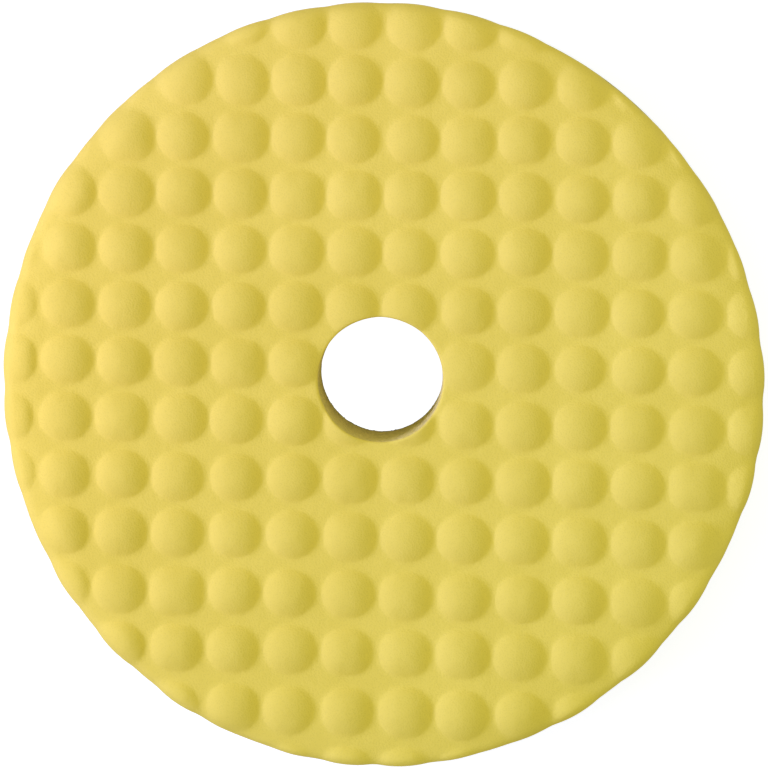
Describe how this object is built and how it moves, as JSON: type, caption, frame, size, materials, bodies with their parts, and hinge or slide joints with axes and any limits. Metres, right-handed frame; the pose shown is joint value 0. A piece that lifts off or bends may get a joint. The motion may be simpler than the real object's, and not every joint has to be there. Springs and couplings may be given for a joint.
{
  "type": "polishing pad",
  "caption": "Round foam buffing pad with a grid of domed bumps on its working face, a centre bore and a hook-and-loop fabric back.",
  "frame": {"origin": "centre of the bore at the loop fabric's outer face, which the pad rests on", "axes": "+Z along the bore axis, out of the bumped working face; +X along the rows of bumps"},
  "size_m": [0.152, 0.152, 0.025],
  "materials": {
    "foam": "matte",
    "film": "satin",
    "loop_fabric": "matte"
  },
  "bodies": {
    "root": {"foam_pad": "foam", "adhesive_film": "film", "loop_backing": "loop_fabric"}
  },
  "joints": []
}
